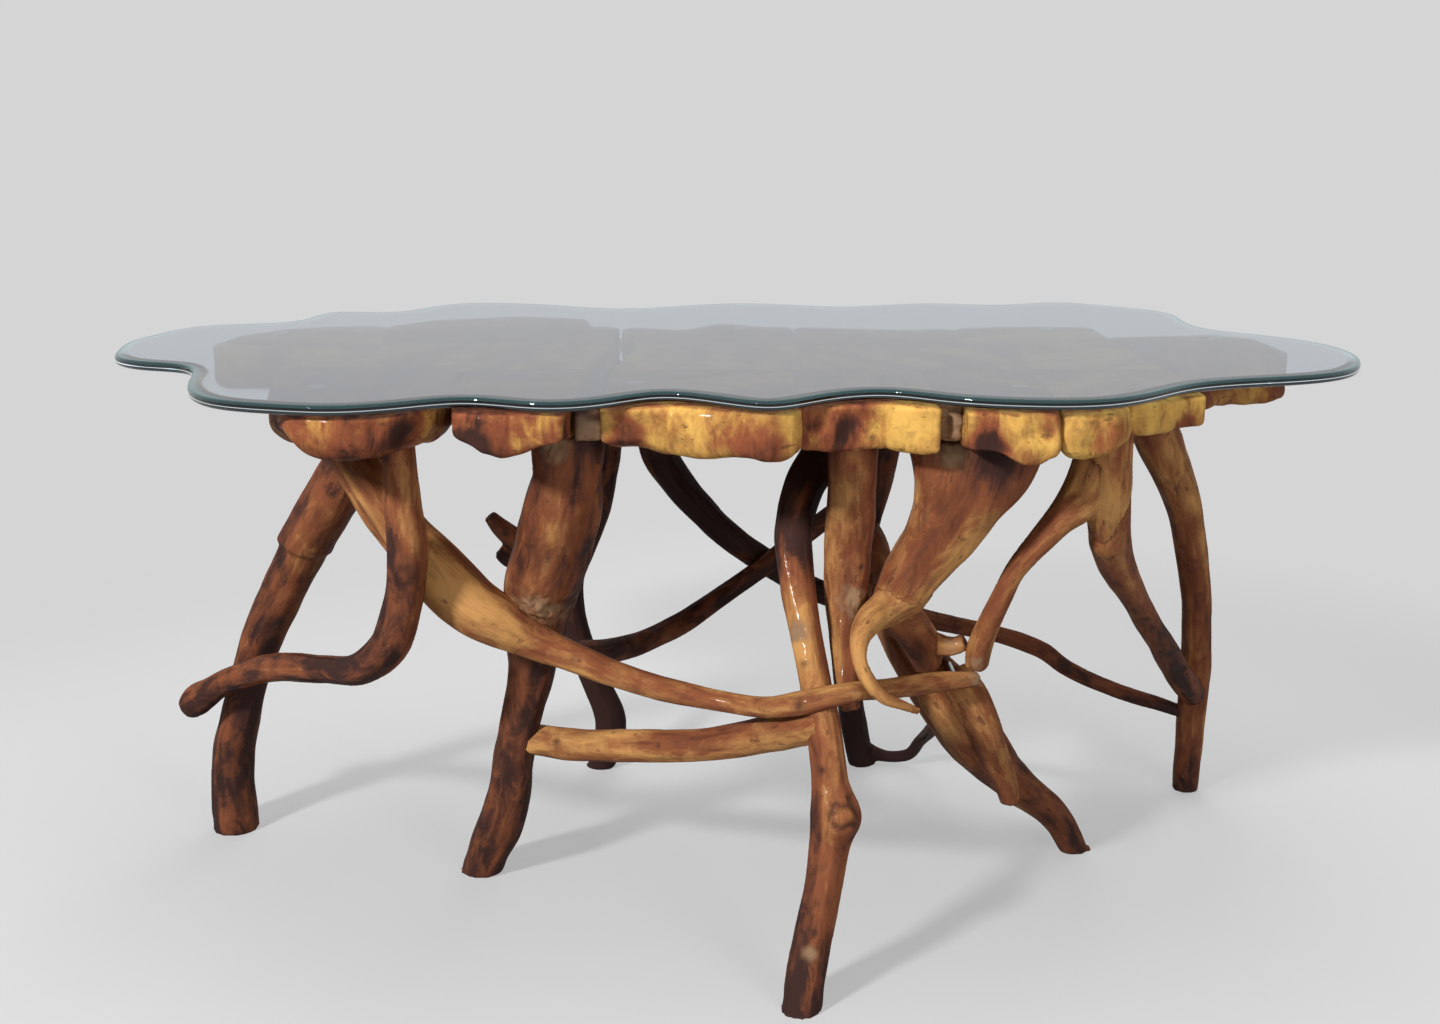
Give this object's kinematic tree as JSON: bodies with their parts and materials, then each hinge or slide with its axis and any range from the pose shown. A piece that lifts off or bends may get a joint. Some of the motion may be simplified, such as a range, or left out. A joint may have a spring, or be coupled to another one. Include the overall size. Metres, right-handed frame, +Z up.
{
  "type": "rustic table",
  "caption": "Rustic table with a free-form glass top resting on a bed of sawn root slabs, carried by crossing and forked root limbs.",
  "frame": {"origin": "on the floor, under the middle of the glass top's outline", "axes": "+X along the table's length towards the viewer's right, +Y to the back of the table, +Z up"},
  "size_m": [1.6513, 0.9781, 0.76],
  "materials": {
    "root_limb": "satin varnish over red-brown root wood",
    "root_slab": "gloss varnish over honey-coloured root wood",
    "dowel_wood": "bare hardwood",
    "plug_wood": "weathered wooden plug under varnish",
    "screw_steel": "zinc plated",
    "clear_pad": "clear soft pad",
    "glass": "clear float glass with a polished green edge"
  },
  "bodies": {
    "base": {"back_centre_slab": "root_slab", "back_left_leg": "root_limb", "back_left_slab": "root_slab", "back_right_end_slab": "root_slab", "back_right_leg": "root_limb", "back_right_slab": "root_slab", "back_stretcher": "root_limb", "bark_filler_block": "root_slab", "centre_brace": "root_limb", "centre_slab": "root_slab", "elbow_brace": "root_limb", "falling_brace": "root_limb", "forked_brace": "root_limb", "front_centre_leg": "root_limb", "front_filler_block": "root_slab", "front_left_leg": "root_limb", "front_left_slab": "root_slab", "front_lobe_slab": "root_slab", "front_middle_slab": "root_slab", "front_ridge_slab": "root_slab", "front_right_end_slab": "root_slab", "front_right_slab": "root_slab", "front_round_slab": "root_slab", "front_stretcher": "root_limb", "glass_pads": "clear_pad", "hook_trunk": "root_limb", "inner_right_slab": "root_slab", "left_end_slab": "root_slab", "left_leg": "root_limb", "limb_dowels": "dowel_wood", "limb_screws": "screw_steel", "low_stretcher": "root_limb", "middle_left_slab": "root_slab", "middle_right_slab": "root_slab", "right_centre_leg": "root_limb", "right_end_slab": "root_slab", "right_leg": "root_limb", "rising_brace": "root_limb", "screw_plugs": "plug_wood", "slab_dowels": "dowel_wood"},
    "glass": {"glass_top": "glass"}
  },
  "joints": [
    {"name": "glass_lift", "type": "slide", "parent": "base", "child": "glass", "axis": [0, 0, 1], "range_m": [0, 0.15]}
  ]
}
